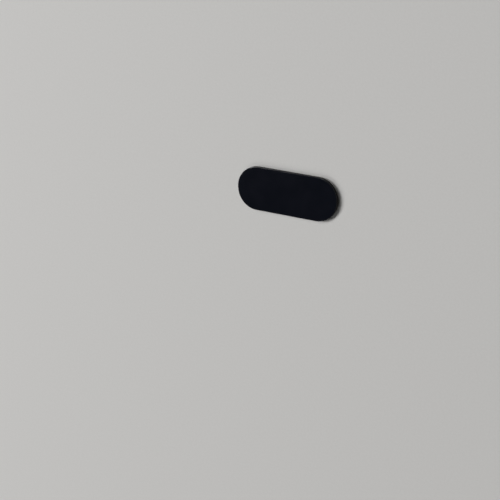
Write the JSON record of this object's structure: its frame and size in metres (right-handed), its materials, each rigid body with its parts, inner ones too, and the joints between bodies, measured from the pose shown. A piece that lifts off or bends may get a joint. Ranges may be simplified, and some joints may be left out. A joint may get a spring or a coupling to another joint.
{
  "type": "webcam cover slider",
  "caption": "Slim stadium-shaped sliding cover for a laptop camera: a plain gloss black cover runs along a base plate with a window, which a pad of tape sticks down.",
  "frame": {"origin": "the bottom centre of the cover's outline, on the underside of the adhesive pad, which is the face that is stuck down", "axes": "X runs along the cover, with the camera's window at the -X end. Y runs across it. +Z points out of the cover's face."},
  "size_m": [0.023, 0.009, 0.0009],
  "materials": {
    "gloss_black_plastic": "gloss, as moulded",
    "satin_black_plastic": "satin, fine moulded texture",
    "black_tape": "matt, tacky"
  },
  "bodies": {
    "base": {"base_plate": "satin_black_plastic", "adhesive_pad": "black_tape"},
    "cover": {"sliding_cover": "gloss_black_plastic"}
  },
  "joints": [
    {"name": "cover_slide", "type": "slide", "parent": "base", "child": "cover", "axis": [1, 0, 0], "range_m": [0, 0.008]}
  ]
}
